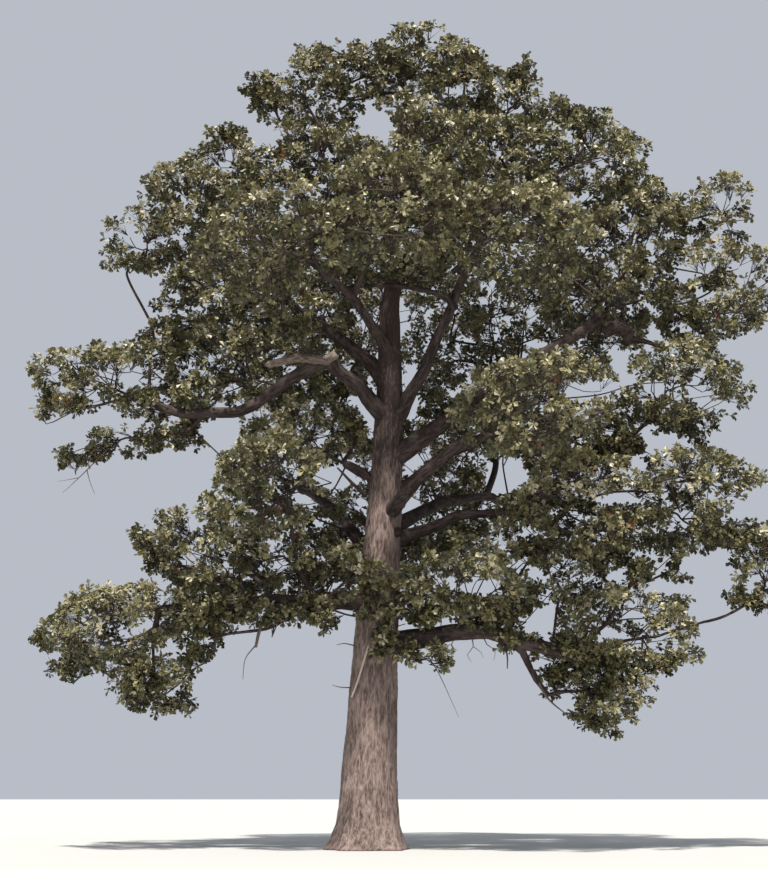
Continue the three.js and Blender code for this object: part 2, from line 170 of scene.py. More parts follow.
# Foliage on short branches along the limbs, outside the masses, in metres: from, to,
# how far it strays in width, depth and height, and its clumps
LIMB_FOLIAGE = [
    ((-4.7, -0.6, 5.75), (-0.8, -0.5, 5.8), (0.25, 0.35, 0.3), 34),
    ((-2.5, -0.8, 5.75), (-0.8, -0.8, 5.8), (0.2, 0.2, 0.25), 14),
    ((-4.4, 0.9, 6.5), (-0.9, 1.2, 6.7), (0.3, 0.7, 0.3), 24),
    ((-1.5, 1.4, 7.6), (-0.8, 1.3, 8.3), (0.3, 0.6, 0.3), 8),
    ((0.9, -0.6, 4.8), (1.9, -0.7, 4.6), (0.2, 0.4, 0.18), 8),
    ((0.9, -0.8, 5.8), (3.6, -0.6, 5.75), (0.25, 0.4, 0.25), 22),
    ((3.2, -0.5, 5.3), (5.2, -0.4, 4.9), (0.3, 0.4, 0.2), 14),
    ((4.6, 0, 4.9), (5.8, 0, 4.6), (0.25, 0.5, 0.25), 10),
    ((5.9, 0, 7.4), (8.3, 0.1, 7.1), (0.3, 0.6, 0.3), 13),
    ((-1, 1.2, 11.4), (-0.4, 1.4, 12.4), (0.3, 0.6, 0.4), 8),
    ((-7.6, 0, 4), (-7, 0, 4.2), (0.15, 0.3, 0.15), 3),
    ((5.6, 0, 10.2), (7.4, 0, 10.1), (0.3, 0.6, 0.3), 12),
    ((-0.5, -0.95, 6.9), (0.5, -0.95, 5.6), (0.35, 0.08, 0.3), 11),
    ((0.35, -0.85, 5.4), (0.75, -0.85, 4.5), (0.15, 0.06, 0.2), 7),
    ((1, 1.6, 11.2), (3, 1.7, 12), (0.35, 0.7, 0.35), 18),
    ((2, 0.9, 8.1), (3.2, 0.9, 8), (0.3, 0.5, 0.25), 8),
    ((-1.2, 0.9, 6.9), (-0.6, 1, 6.5), (0.25, 0.5, 0.2), 6),
    ((2.5, -0.2, 5.95), (3.6, -0.2, 5.85), (0.25, 0.4, 0.15), 7),
    ((0.9, -0.4, 6.3), (1.3, -0.5, 5.7), (0.15, 0.3, 0.2), 5),
    ((-5.9, 0, 4.3), (-5, 0, 4), (0.25, 0.4, 0.22), 9),
    ((-4.7, -0.1, 5.2), (-4.2, -0.1, 4.8), (0.15, 0.3, 0.15), 5),
    ((-7.2, -1, 11.55), (-4.4, -1.1, 11.3), (0.3, 0.3, 0.22), 14),
    ((-2.2, -2.6, 14.9), (2.6, -2.6, 15.2), (0.8, 0.8, 0.7), 42),
    ((-0.9, -1.2, 14.8), (1.8, -1.2, 14.9), (0.25, 0.3, 0.3), 26),
    ((-2.6, -2, 12.9), (-0.6, -1.9, 13.2), (0.4, 0.5, 0.35), 14),
    ((0, -0.1, 21.1), (3.2, 0, 21.2), (0.4, 0.7, 0.25), 10),
    ((-1.9, 0, 21.35), (-1.2, 0, 21.4), (0.2, 0.6, 0.12), 7),
    ((-0.8, 0, 21.2), (0.4, 0, 21.4), (0.25, 0.6, 0.15), 8),
    ((-2.9, 0, 20.5), (-2.4, 0, 19.9), (0.2, 0.5, 0.25), 7),
    ((-4.2, 0, 18.95), (-3.5, 0, 19.1), (0.18, 0.6, 0.12), 8),
    ((2.6, 0, 21.1), (3.4, 0, 20.9), (0.25, 0.6, 0.12), 8),
    ((4.1, 0, 21.05), (4.55, 0, 20.95), (0.15, 0.6, 0.1), 7),
    ((5.2, 0, 19.7), (6, 0, 19.4), (0.2, 0.6, 0.15), 7),
    ((7.2, 0, 17.7), (7.8, 0, 17), (0.18, 0.5, 0.15), 8),
    ((-6.9, 0, 15.4), (-6.2, 0, 15.2), (0.18, 0.5, 0.12), 8),
    ((-5.8, 0, 12.7), (-4.9, 0, 13.2), (0.25, 0.6, 0.15), 9),
    ((-8.7, 0, 11.5), (-7.7, 0, 11.2), (0.15, 0.5, 0.15), 9),
    ((-7.8, -0.1, 9.85), (-6.8, -0.1, 10.15), (0.18, 0.4, 0.1), 9),
    ((-4.9, -0.2, 10.8), (-4.4, -0.2, 10.7), (0.15, 0.4, 0.15), 5),
    ((-4.2, 0, 9.3), (-3.7, 0, 9.9), (0.15, 0.5, 0.25), 6),
    ((-6, 0, 7.8), (-5.3, 0, 7.1), (0.2, 0.6, 0.22), 13),
    ((-7.4, 0, 4.7), (-7.1, 0, 4.6), (0.12, 0.4, 0.12), 4),
    ((-8.2, 0, 5.1), (-8, 0, 5.2), (0.1, 0.4, 0.1), 3),
    ((-6.1, 0, 3.7), (-5.3, 0, 3.6), (0.2, 0.4, 0.12), 8),
    ((-4.4, -0.3, 5.4), (-3.6, -0.3, 5.4), (0.2, 0.3, 0.12), 6),
    ((6, 0, 4.4), (6.8, 0, 4.4), (0.25, 0.5, 0.25), 10),
    ((7.2, 0, 4.5), (7.95, 0, 4.75), (0.18, 0.5, 0.12), 9),
    ((5.6, 0, 3.9), (6.2, 0, 3.9), (0.2, 0.5, 0.15), 8),
    ((5.5, 0, 3.15), (6, 0, 3.1), (0.18, 0.4, 0.08), 6),
    ((8.4, 0, 13.9), (9, 0, 13.6), (0.2, 0.5, 0.2), 6),
    ((4.2, 0, 4.7), (4.8, 0, 4), (0.2, 0.4, 0.2), 9),
    ((1.6, 0.9, 11.8), (2.6, 0.9, 11.4), (0.3, 0.6, 0.25), 9),
    ((-1.6, 0.6, 12.1), (-0.8, 0.6, 12.3), (0.3, 0.6, 0.25), 8),
    ((2.4, 0.9, 9.4), (3, 0.9, 9.7), (0.2, 0.6, 0.2), 7),
    ((5.9, 0, 8.1), (6.7, 0, 8.2), (0.2, 0.6, 0.15), 9),
    ((8.6, -0.2, 7.95), (10.2, -0.2, 7.45), (0.2, 0.4, 0.18), 16),
    ((6.8, -0.5, 15), (7.4, -0.5, 15), (0.2, 0.6, 0.2), 7),
    ((-0.6, 0.7, 11.2), (-0.25, 0.7, 10.6), (0.12, 0.4, 0.15), 9),
    ((-1.2, 0.9, 7.2), (-0.6, 0.9, 7), (0.2, 0.4, 0.12), 6),
    ((0.9, 0.9, 7.7), (2.6, 0.9, 7.8), (0.25, 0.5, 0.18), 13),
    ((0.8, -0.5, 20.8), (2.5, -0.5, 20.7), (0.3, 0.6, 0.2), 10),
    ((-1.3, -0.3, 20.4), (-0.7, -0.3, 20.3), (0.2, 0.6, 0.15), 6),
    ((-0.6, -1.4, 7.2), (0.8, -1.7, 6.4), (0.25, 0.3, 0.25), 13),
    ((-3.3, 0, 20.6), (-3.1, 0, 20.1), (0.1, 0.5, 0.12), 5),
    ((9.5, -0.2, 6.5), (9.7, -0.2, 6), (0.12, 0.3, 0.1), 6),
    ((-5.9, -0.2, 10.3), (-5.1, -0.2, 10.35), (0.15, 0.4, 0.1), 8),
    ((-8.1, 0, 4.5), (-7.7, 0, 4.4), (0.08, 0.3, 0.08), 4),
    ((-4.5, 0, 4.8), (-4.2, 0, 4.65), (0.1, 0.3, 0.08), 4),
    ((6.6, 0, 10.5), (7.2, 0, 10.3), (0.2, 0.6, 0.18), 10),
    ((8.2, 0, 11.1), (8.6, 0, 10.4), (0.18, 0.5, 0.2), 11),
    ((8.3, 0, 16.9), (8.6, 0, 16.3), (0.15, 0.5, 0.2), 9),
    ((9.1, 0, 14.8), (9.8, 0, 14.7), (0.2, 0.5, 0.12), 8),
    ((5.1, 0, 8.7), (5.8, 0, 8.7), (0.2, 0.6, 0.12), 7),
    ((8.2, 0, 8.9), (8.5, 0, 8.6), (0.15, 0.5, 0.15), 5),
    ((4.1, 0.3, 7.7), (4.5, 0.3, 7), (0.18, 0.6, 0.15), 8),
    ((6.95, 0, 6.9), (7.3, 0, 6.8), (0.12, 0.4, 0.08), 5),
    ((-1.9, 0.3, 18), (-1.3, 0.3, 18.2), (0.2, 0.6, 0.2), 6),
    ((-2.9, 0, 18.5), (-2.4, 0, 18.6), (0.15, 0.6, 0.12), 5),
    ((-3.6, 0.5, 7.4), (-2.7, 0.5, 7.3), (0.2, 0.6, 0.15), 8),
    ((-4.2, 0.5, 12.4), (-3.7, 0.5, 12.2), (0.2, 0.6, 0.15), 6),
    ((-5.9, 0, 13.4), (-5.5, 0, 13.5), (0.12, 0.5, 0.1), 4),
    ((5.5, 0, 20), (5.8, 0, 19.85), (0.1, 0.5, 0.08), 4),
]
# Points that the growth passes on its way to the far droop on the right, in metres
DROOP_WAY = [(8.9, -0.2, 8.0), (9.5, -0.2, 7.75), (10.1, -0.2, 7.4)]

# Smaller limbs with a place of their own, in metres: points, root and tip radius
SIDE_LIMBS = [
    ([(-1.9, -0.4, 5.8), (-2.5, -0.6, 5.4), (-3.4, -0.7, 5.25), (-4.0, -0.7, 5.1)], 0.06, 0.02),
    ([(2.3, -0.6, 13.8), (1.95, -0.7, 14.15), (0.8, -0.8, 14.4), (-0.2, -0.9, 14.35),
      (-1.2, -1.1, 14.2)], 0.095, 0.035),
    ([(2.2, -1.0, 14.7), (2.6, -1.1, 14.95), (3.05, -1.2, 14.8), (3.45, -1.3, 15.25)], 0.08, 0.05),
    ([(-1.0, -0.6, 18.3), (-1.3, -0.7, 18.9), (-1.65, -0.8, 19.5)], 0.07, 0.035),
    ([(-0.05, -0.45, 8.8), (-0.4, -0.6, 9.1), (-0.8, -0.7, 9.5)], 0.06, 0.025),
    ([(6.7, -1.0, 12.8), (7.2, -1.0, 12.8), (7.8, -1.0, 12.55)], 0.09, 0.04),
    ([(7.6, -0.3, 9.4), (7.85, -0.3, 8.9), (8.05, -0.3, 8.4)], 0.04, 0.02),
]

# Dead and broken wood, in metres: points, root and tip radius
DEAD_STICKS = [
    ([(-2.5, -0.4, 5.85), (-2.7, -0.7, 5.4), (-2.8, -0.8, 4.9)], 0.06, 0.035),
    ([(-2.8, -0.8, 4.95), (-3.05, -0.85, 4.6), (-3.1, -0.85, 4.1)], 0.018, 0.006),
    ([(4.2, -0.1, 4.35), (4.5, -0.2, 3.7), (5.05, -0.3, 3.2)], 0.045, 0.01),
    ([(3.4, -0.3, 5.1), (3.5, -0.4, 4.75), (3.5, -0.4, 4.4)], 0.035, 0.015),
    ([(1.5, -0.6, 4.7), (1.8, -0.6, 4.2), (2.25, -0.6, 3.2)], 0.016, 0.005),
    ([(2.3, -0.2, 5.3), (2.1, -0.4, 5.0), (2.2, -0.4, 4.85), (1.95, -0.5, 4.7)], 0.016, 0.004),
    ([(2.6, -0.2, 5.3), (2.65, -0.4, 4.95), (2.5, -0.4, 4.75), (2.6, -0.5, 4.55)], 0.016, 0.004),
    ([(2.9, -0.2, 5.3), (3.0, -0.4, 5.0), (3.2, -0.4, 4.85), (3.15, -0.5, 4.6)], 0.016, 0.004),
    ([(2.65, -0.4, 4.95), (2.85, -0.4, 4.8), (2.9, -0.45, 4.65)], 0.009, 0.003),
    ([(2.1, -0.4, 5.0), (1.9, -0.4, 4.95), (1.75, -0.45, 4.85)], 0.009, 0.003),
    ([(-6.8, -0.3, 10.1), (-7.4, -0.4, 9.4), (-7.9, -0.4, 8.9)], 0.018, 0.005),
    ([(-7.3, -0.4, 9.5), (-7.2, -0.5, 9.2), (-7.05, -0.5, 8.85)], 0.012, 0.004),
    ([(-7.5, -0.4, 9.3), (-7.75, -0.4, 9.25), (-8.05, -0.4, 9.2)], 0.010, 0.004),
    ([(0.7, -0.6, 5.7), (0.95, -0.85, 6.0), (1.15, -0.95, 6.3)], 0.022, 0.01),
    ([(-0.35, -0.1, 5.0), (-0.6, -0.2, 5.05), (-0.8, -0.3, 5.0)], 0.018, 0.006),
    ([(-0.45, -0.1, 3.95), (-0.7, -0.2, 3.95), (-0.9, -0.25, 4.0)], 0.016, 0.006),
]

# The curled burl near the end of the right high bough, in metres
BURL = [(6.15, -0.9, 13.05), (6.5, -1.0, 13.2), (6.78, -1.0, 12.98), (6.68, -1.05, 12.72)]
BURL_RADII = np.array([0.136, 0.1955, 0.17, 0.102])

# The knob on the trunk's right and the pale vine on its left: height and angle from the
# right towards the back, in metres and degrees
KNOB_HEIGHT, KNOB_ANGLE, KNOB_RADII = 7.9, -40, np.array([0.13, 0.0975])
KNOB_SUNK, KNOB_PROUD, KNOB_RISE = -0.05, 0.09, 0.04
VINE = [(5.0, -107), (4.55, -118), (4.1, -130), (3.7, -146)]
VINE_RADIUS = 0.028


# Small helpers


def unit(vectors):
    lengths = np.linalg.norm(vectors, axis=-1, keepdims=True)
    return vectors / np.maximum(lengths, 1e-9)


def across(directions, like=UP):
    """Unit vectors across each direction, as near as they can be to like."""
    side = np.broadcast_to(like, directions.shape).astype(float)
    side = side - directions * (side * directions).sum(-1, keepdims=True)
    short = np.linalg.norm(side, axis=-1) < 1e-3
    side[short] = np.array([1.0, 0.0, 0.0])
    side = side - directions * (side * directions).sum(-1, keepdims=True)
    return unit(side)


def random_directions(rng, count):
    return unit(rng.normal(size=(count, 3)))


def mesh_arrays(obj):
    """Points and triangles of a mesh object."""
    mesh = obj.data
    mesh.calc_loop_triangles()
    points = np.empty(len(mesh.vertices) * 3)
    mesh.vertices.foreach_get("co", points)
    corners = np.empty(len(mesh.loop_triangles) * 3, dtype=np.int32)
    mesh.loop_triangles.foreach_get("vertices", corners)
    return points.reshape(-1, 3), corners.reshape(-1, 3)


def make_piece(name, points, faces, materials, smooth=True, furrow=None, grain=None):
    """A mesh object from arrays. faces are rows of 3 or 4 corners."""
    mesh = bpy.data.meshes.new(name)
    points = np.asarray(points, dtype=np.float32)
    mesh.vertices.add(len(points))
    mesh.vertices.foreach_set("co", points.ravel())
    starts, corners = [], []
    total = 0
    for block in faces:
        block = np.asarray(block, dtype=np.int32)
        starts.append(total + block.shape[1] * np.arange(len(block)))
        corners.append(block.ravel())
        total += block.size
    starts = np.concatenate(starts)
    corners = np.concatenate(corners)
    mesh.loops.add(len(corners))
    mesh.loops.foreach_set("vertex_index", corners.astype(np.int32))
    mesh.polygons.add(len(starts))
    mesh.polygons.foreach_set("loop_start", starts.astype(np.int32))
    if furrow is not None:
        layer = mesh.attributes.new("furrow", "FLOAT", "POINT")
        layer.data.foreach_set("value", np.asarray(furrow, dtype=np.float32))
        layer = mesh.attributes.new("grain", "FLOAT_VECTOR", "POINT")
        layer.data.foreach_set("vector", np.asarray(grain, dtype=np.float32).ravel())
    mesh.update(calc_edges=True)
    mesh.validate()
    mesh.polygons.foreach_set("use_smooth", np.full(len(mesh.polygons), smooth))
    for material in materials:
        mesh.materials.append(material)
    obj = bpy.data.objects.new(name, mesh)
    bpy.context.scene.collection.objects.link(obj)
    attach(obj, "root")
    return obj


# Reading the frame


def split_nodes():
    """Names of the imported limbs, the trunk first, and of the masses."""
    limbs, masses = [], []
    for part in frame["record"]["subparts"]:
        kind = limbs if part["material_slot"] == "bark" else masses
        kind.append(part["node"])
    return limbs, masses


def section(corners, origin, normal):
    """Centre and mean radius of a closed mesh where a plane cuts it."""
    heights = (corners - origin) @ normal
    cut = (heights.min(1) < 0) & (heights.max(1) > 0)
    corners, heights = corners[cut], heights[cut]
    ends, crossed = [], []
    for a, b in ((0, 1), (1, 2), (2, 0)):
        crossed.append(heights[:, a] * heights[:, b] < 0)
        share = heights[:, a] / np.where(crossed[-1], heights[:, a] - heights[:, b], 1)
        ends.append(corners[:, a] + (corners[:, b] - corners[:, a]) * share[:, None])
    ends = np.stack(ends, 1)
    crossed = np.stack(crossed, 1)
    good = crossed.sum(1) == 2
    pairs = ends[good][crossed[good]].reshape(-1, 2, 3)
    lengths = np.linalg.norm(pairs[:, 1] - pairs[:, 0], axis=1)
    centre = (pairs.mean(1) * lengths[:, None]).sum(0) / lengths.sum()
    return centre, lengths.sum() / (2 * math.pi)


def limb_line(name, rest_points, sections=15):
    """Centreline and radii of a bough, from the end that meets its parent outwards."""
    points, triangles = mesh_arrays(frame["nodes"][name])
    middle = points.mean(0)
    axis = np.linalg.svd(points - middle, full_matrices=False)[2][0]
    along = (points - middle) @ axis
    gaps = [
        np.linalg.norm(rest_points - points[pick], axis=1).min()
        for pick in (along.argmin(), along.argmax())
    ]
    if gaps[0] > gaps[1]:
        axis, along = -axis, -along
    line, radii = [], []
    for share in np.linspace(0.07, 0.95, sections):
        place = middle + axis * (along.min() + share * np.ptp(along))
        centre, radius = section(points[triangles], place, axis)
        line.append(centre)
        radii.append(radius)
    line, radii = np.array(line), np.array(radii)
    slope = unit(np.gradient(line, axis=0))
    return line, radii * np.abs(slope @ axis)


def trunk_line(name):
    """Centreline and radii of the trunk from the ground up, with the leader that it grows into."""
    points, triangles = mesh_arrays(frame["nodes"][name])
    top = points[:, 2].max()
    heights = top * np.linspace(0.0005, 0.95, 40) ** 1.4
    cuts = [section(points[triangles], UP * height, UP) for height in heights]
    centres = np.array([c for c, _ in cuts])
    radii = np.array([r for _, r in cuts])
    share = np.linspace(0, 1, LEADER_STEPS + 1)[1:, None]
    run = unit(centres[-1] - centres[-4]) * LEADER_LENGTH
    bend = LEADER_BEND * np.sin(math.pi * share * 1.3)
    leader = centres[-1] + run * share + bend
    taper = radii[-1] * (1 - LEADER_TAPER * share[:, 0] ** 0.9)
    return np.concatenate([centres, leader]), np.concatenate([radii, taper])


LIMBS, MASSES = split_nodes()
TRUNK = LIMBS[0]
trunk_centres, trunk_radii = trunk_line(TRUNK)
limb_lines = {}
for limb in LIMBS[1:]:
    others = [mesh_arrays(frame["nodes"][other])[0] for other in LIMBS if other != limb]
    limb_lines[limb] = limb_line(limb, np.concatenate(others))


# Clumps of foliage


class Mass:
    """One mass of foliage: its solid, its middle and how far it reaches each way."""

    def __init__(self, name):
        points, triangles = mesh_arrays(frame["nodes"][name])
        self.middle = points.mean(0)
        self.tree = BVHTree.FromPolygons(points.tolist(), triangles.tolist())
        sides = points[triangles]
        normals = np.cross(sides[:, 1] - sides[:, 0], sides[:, 2] - sides[:, 0])
        self.area = np.linalg.norm(normals, axis=1).sum() / 2

    def reach(self, direction):
        """Distance from the middle to the skin."""
        hit = self.tree.ray_cast(Vector(self.middle), Vector(direction))
        return hit[3] or 0.0

    def gap(self, place):
        """Distance from a place to the skin."""
        return self.tree.find_nearest(Vector(place))[3]


def keep_apart(places, spacing, taken):
    """Indices of the places that lie spacing apart from each other and from those taken."""
    cells = {}

    def cell(place):
        return tuple(np.floor(place / spacing).astype(int))

    def near(place):
        x, y, z = cell(place)
        for i in (x - 1, x, x + 1):
            for j in (y - 1, y, y + 1):
                for k in (z - 1, z, z + 1):
                    yield from cells.get((i, j, k), ())

    for place in taken:
        cells.setdefault(cell(place), []).append(place)
    kept = []
    for index, place in enumerate(places):
        if all(np.sum((place - other) ** 2) > spacing ** 2 for other in near(place)):
            kept.append(index)
            cells.setdefault(cell(place), []).append(place)
    return kept


def scatter_clumps(rng, masses):
    """Clumps in the shell of each mass and inside it: middle, way out, radius, fullness."""
    centres, outward, radii = [], [], []
    for mass in masses:
        others = [other for other in masses if other is not mass
                  and np.linalg.norm(other.middle - mass.middle) < NEIGHBOUR_REACH]
        for direction in random_directions(rng, int(mass.area * SHELL_TRIES)):
            reach = mass.reach(direction)
            radius = rng.uniform(*CLUMP_RADIUS)
            skin = mass.middle + direction * reach
            hidden = any(other.gap(skin) < HIDDEN_GAP for other in others)
            keep = HIDDEN_KEPT if hidden else 1.0
            if direction[2] < UNDERSIDE:
                keep *= UNDERSIDE_KEPT
            if rng.random() > keep or reach < radius:
                continue
            lump = LUMP_HEIGHT * noise.noise(Vector(skin * LUMP_SCALE))
            depth = 0.7 * radius + SHELL_DEPTH * reach * rng.random() ** 2 - lump
            centres.append(mass.middle + direction * max(reach - depth, 0.1))
            outward.append(direction)
            radii.append(radius)
    centres, outward, radii = np.array(centres), np.array(outward), np.array(radii)
    kept = keep_apart(centres, CLUMP_SPACING, [])
    centres, outward, radii = centres[kept], outward[kept], radii[kept]

    inner, inner_out = [], []
    for mass in masses:
        for direction in random_directions(rng, int(mass.area * INNER_TRIES)):
            reach = mass.reach(direction)
            inner.append(mass.middle + direction * reach * INNER_REACH * rng.random() ** 0.4)
            inner_out.append(direction)
    inner = np.array(inner)
    kept = keep_apart(inner, INNER_SPACING, centres)
    inner_radii = rng.uniform(*CLUMP_RADIUS, size=len(kept))
    fullness = np.concatenate([np.ones(len(centres)), np.full(len(kept), INNER_SHARE)])
    centres = np.concatenate([centres, inner[kept]])
    outward = np.concatenate([outward, np.array(inner_out)[kept]])
    radii = np.concatenate([radii, inner_radii])
    return centres, outward, radii, fullness


def scatter_limb_foliage(rng):
    """Clumps on the short branches along the limbs."""
    centres, outward = [], []
    for start, end, stray, count in LIMB_FOLIAGE:
        along = rng.random((count, 1))
        place = np.array(start) * (1 - along) + np.array(end) * along
        centres.append(place + np.array(stray) * rng.uniform(-1, 1, (count, 3)))
        outward.append(unit(0.8 * random_directions(rng, count) + np.array([0.0, -0.3, -0.3])))
    centres = np.concatenate(centres)
    radii = rng.uniform(*LIMB_CLUMP_RADIUS, size=len(centres))
    return centres, np.concatenate(outward), radii, np.full(len(centres), LIMB_CLUMP_FULLNESS)


def shows_sky(places, margin=0.0):
    """Which places stand in an opening of the crown, as seen from the camera."""
    eye = np.array(CAMERA_PLACE)
    share = eye[1] / (eye[1] - places[:, 1])
    seen = eye + (places - eye) * share[:, None]
    inside = np.zeros(len(places), bool)
    for right, height, half_width, half_height in SKY_GAPS:
        across_gap = (seen[:, 0] - right) / (half_width + margin)
        up_gap = (seen[:, 2] - height) / (half_height + margin)
        inside |= across_gap ** 2 + up_gap ** 2 < 1
    return inside


def scatter_relays(rng, masses):
    """Points inside the masses through which branches pass on their way to the clumps."""
    relays = []
    for mass in masses:
        for direction in random_directions(rng, int(mass.area * RELAY_TRIES)):
            way = mass.reach(direction) * RELAY_REACH * rng.random() ** 0.5
            relays.append(mass.middle + direction * way)
    relays = np.array(relays)
    return relays[keep_apart(relays, RELAY_SPACING, [])]


# The branching rule


class Growth:
    """The limbs as a tree of points, on which branches grow towards targets."""

    def __init__(self):
        self.place, self.parent, self.fixed = [], [], []
        self.path, self.heading, self.open = [], [], []

    def add(self, place, parent, fixed, is_open):
        """Adds a point, with its fixed radius or None, and returns its index."""
        path, heading = 0.0, UP
        if parent >= 0:
            step = place - self.place[parent]
            heading = unit(step)
            if fixed is None:
                path = self.path[parent] + np.linalg.norm(step)
        self.place.append(place)
        self.parent.append(parent)
        self.fixed.append(fixed)
        self.path.append(path)
        self.heading.append(heading)
        self.open.append(is_open)
        return len(self.place) - 1

    def nearest(self, place, allowed):
        """The point nearest to a place, among those allowed."""
        places = np.array(self.place)[allowed]
        return allowed[int(np.linalg.norm(places - place, axis=1).argmin())]


def plant_limbs():
    """The trunk and the boughs as fixed points of the growth, each bough on its parent."""
    growth = Growth()
    last = -1
    trunk_ids = []
    for centre, radius in zip(trunk_centres, trunk_radii):
        last = growth.add(centre, last, radius, centre[2] > LOWEST_BRANCH)
        trunk_ids.append(last)
    limb_ids = {TRUNK: trunk_ids}
    waiting = dict(limb_lines)
    while waiting:
        def gap(name):
            line = waiting[name][0]
            ids = [i for group in limb_ids.values() for i in group]
            return np.linalg.norm(np.array(growth.place)[ids] - line[0], axis=1).min()
        name = min(waiting, key=gap)
        line, radii = waiting.pop(name)
        start = line[0]
        heading = unit(line[1] - line[0])
        ids = [i for group in limb_ids.values() for i in group]
        near = growth.nearest(start, ids)
        distance = np.linalg.norm(growth.place[near] - start)
        back = start - heading * distance
        near = growth.nearest(back, ids)
        last = growth.add(back, near, radii[0] * 1.1, False)
        limb_ids[name] = [last]
        for index, (centre, radius) in enumerate(zip(line, radii)):
            last = growth.add(centre, last, radius, index > BARE_ROOT * len(line))
            limb_ids[name].append(last)
    return growth, limb_ids


def grow(growth, targets):
    """Joins each target to the growth, the cheapest one first. Returns the target's ids."""
    count = len(targets)
    best = np.full(count, np.inf)
    source = np.full(count, -1)
    ids = np.full(count, -1)

    def offer(index):
        step = targets - growth.place[index]
        distance = np.linalg.norm(step, axis=1)
        turn = 1 - (step @ growth.heading[index]) / np.maximum(distance, 1e-6)
        cost = distance * (1 + TURN_WEIGHT * turn) + PATH_WEIGHT * growth.path[index]
        better = (cost < best) & (ids < 0)
        best[better] = cost[better]
        source[better] = index

    for index in range(len(growth.place)):
        if growth.open[index]:
            offer(index)
    for _ in range(count):
        pick = int(np.where(ids < 0, best, np.inf).argmin())
        ids[pick] = growth.add(targets[pick], int(source[pick]), None, True)
        offer(ids[pick])
    return ids


def relax(growth, live, radii, relays):
    """Eases the bends of the relay points towards the line from parent to thickest child."""
    heavy = {}
    for index in range(1, len(growth.place)):
        parent = growth.parent[index]
        if live[index] and (parent not in heavy or radii[index] > radii[heavy[parent]]):
            heavy[parent] = index
    for _ in range(RELAX_ROUNDS):
        for index in relays:
            if live[index] and index in heavy:
                ends = growth.place[growth.parent[index]] + growth.place[heavy[index]]
                growth.place[index] = 0.5 * growth.place[index] + 0.25 * ends


def prune(growth, ends):
    """Marks the points that carry a clump, so that bare relay branches are left out."""
    live = np.zeros(len(growth.place), bool)
    for end in ends:
        index = end
        while index >= 0 and not live[index]:
            live[index] = True
            index = growth.parent[index]
    for index, fixed in enumerate(growth.fixed):
        if fixed is not None:
            live[index] = True
    return live


def pipe_radii(growth, live, ends):
    """Radii by the pipe rule: a branch is as thick as all that it carries."""
    load = np.zeros(len(growth.place))
    load[ends] += TIP_RADIUS ** PIPE_POWER
    for index in range(len(growth.place) - 1, 0, -1):
        if live[index]:
            load[growth.parent[index]] += load[index]
    radii = load ** (1 / PIPE_POWER)
    for index, fixed in enumerate(growth.fixed):
        if fixed is not None:
            radii[index] = fixed
        else:
            radii[index] = min(radii[index], CHILD_RADIUS * radii[growth.parent[index]])
    return np.maximum(radii, FINEST_RADIUS)


def chains(growth, live, radii):
    """Lists of points that each make one limb: every branch goes on into its thickest child."""
    children = [[] for _ in growth.place]
    for index in range(1, len(growth.place)):
        if live[index]:
            children[growth.parent[index]].append(index)
    heavy = {}
    for index, group in enumerate(children):
        if group:
            rank = [(growth.fixed[child] is not None, radii[child]) for child in group]
            heavy[index] = group[max(range(len(group)), key=lambda k: rank[k])]
    result = []
    stack = [0]
    while stack:
        start = stack.pop()
        chain = [start]
        while chain[-1] in heavy:
            chain.append(heavy[chain[-1]])
        result.append(chain)
        for index in chain:
            stack.extend(child for child in children[index] if child != heavy.get(index))
    return result


# Tubes


def smooth_line(points, radii, step):
    """A Catmull-Rom curve through the points, with its radii, in steps of about one length."""
    points, radii = np.asarray(points), np.asarray(radii)
    padded = np.concatenate([[2 * points[0] - points[1]], points, [2 * points[-1] - points[-2]]])
    line, widths = [], []
    for index in range(len(points) - 1):
        a, b, c, d = padded[index:index + 4]
        count = max(1, int(round(np.linalg.norm(c - b) / step)))
        share = (np.arange(count) / count)[:, None]
        line.append(0.5 * (2 * b + (c - a) * share + (2 * a - 5 * b + 4 * c - d) * share ** 2
                           + (3 * b - a - 3 * c + d) * share ** 3))
        widths.append(radii[index] + (radii[index + 1] - radii[index]) * share[:, 0])
    line.append(points[-1:])
    widths.append(radii[-1:])
    return np.concatenate(line), np.concatenate(widths)


def frames_along(line):
    """Two unit vectors across a line at each of its points, without twist."""
    headings = unit(np.gradient(line, axis=0))
    first = across(headings[:1])[0]
    sides = [first]
    for heading in headings[1:]:
        side = sides[-1] - heading * (sides[-1] @ heading)
        sides.append(side / max(np.linalg.norm(side), 1e-9))
    sides = np.array(sides)
    return sides, np.cross(headings, sides)


def grain_around(angles, along, widths):
    """The bark's own coordinates in metres: two around the limb and one along it."""
    x = widths[:, None] * np.cos(angles)[None]
    y = widths[:, None] * np.sin(angles)[None]
    z = np.broadcast_to(along[:, None], x.shape)
    return np.stack([x, y, z], -1).reshape(-1, 3)


def ring_quads(count, sides):
    """The faces between the rings of a tube."""
    low = np.arange(count - 1)[:, None] * sides + np.arange(sides)[None]
    nxt = np.arange(count - 1)[:, None] * sides + (np.arange(sides)[None] + 1) % sides
    return np.stack([low, nxt, nxt + sides, low + sides], -1).reshape(-1, 4)


def cap_faces(ring, middle):
    """The triangles from a ring of a tube to the point that closes it."""
    return np.stack([ring, np.roll(ring, -1), np.full(len(ring), middle)], -1)


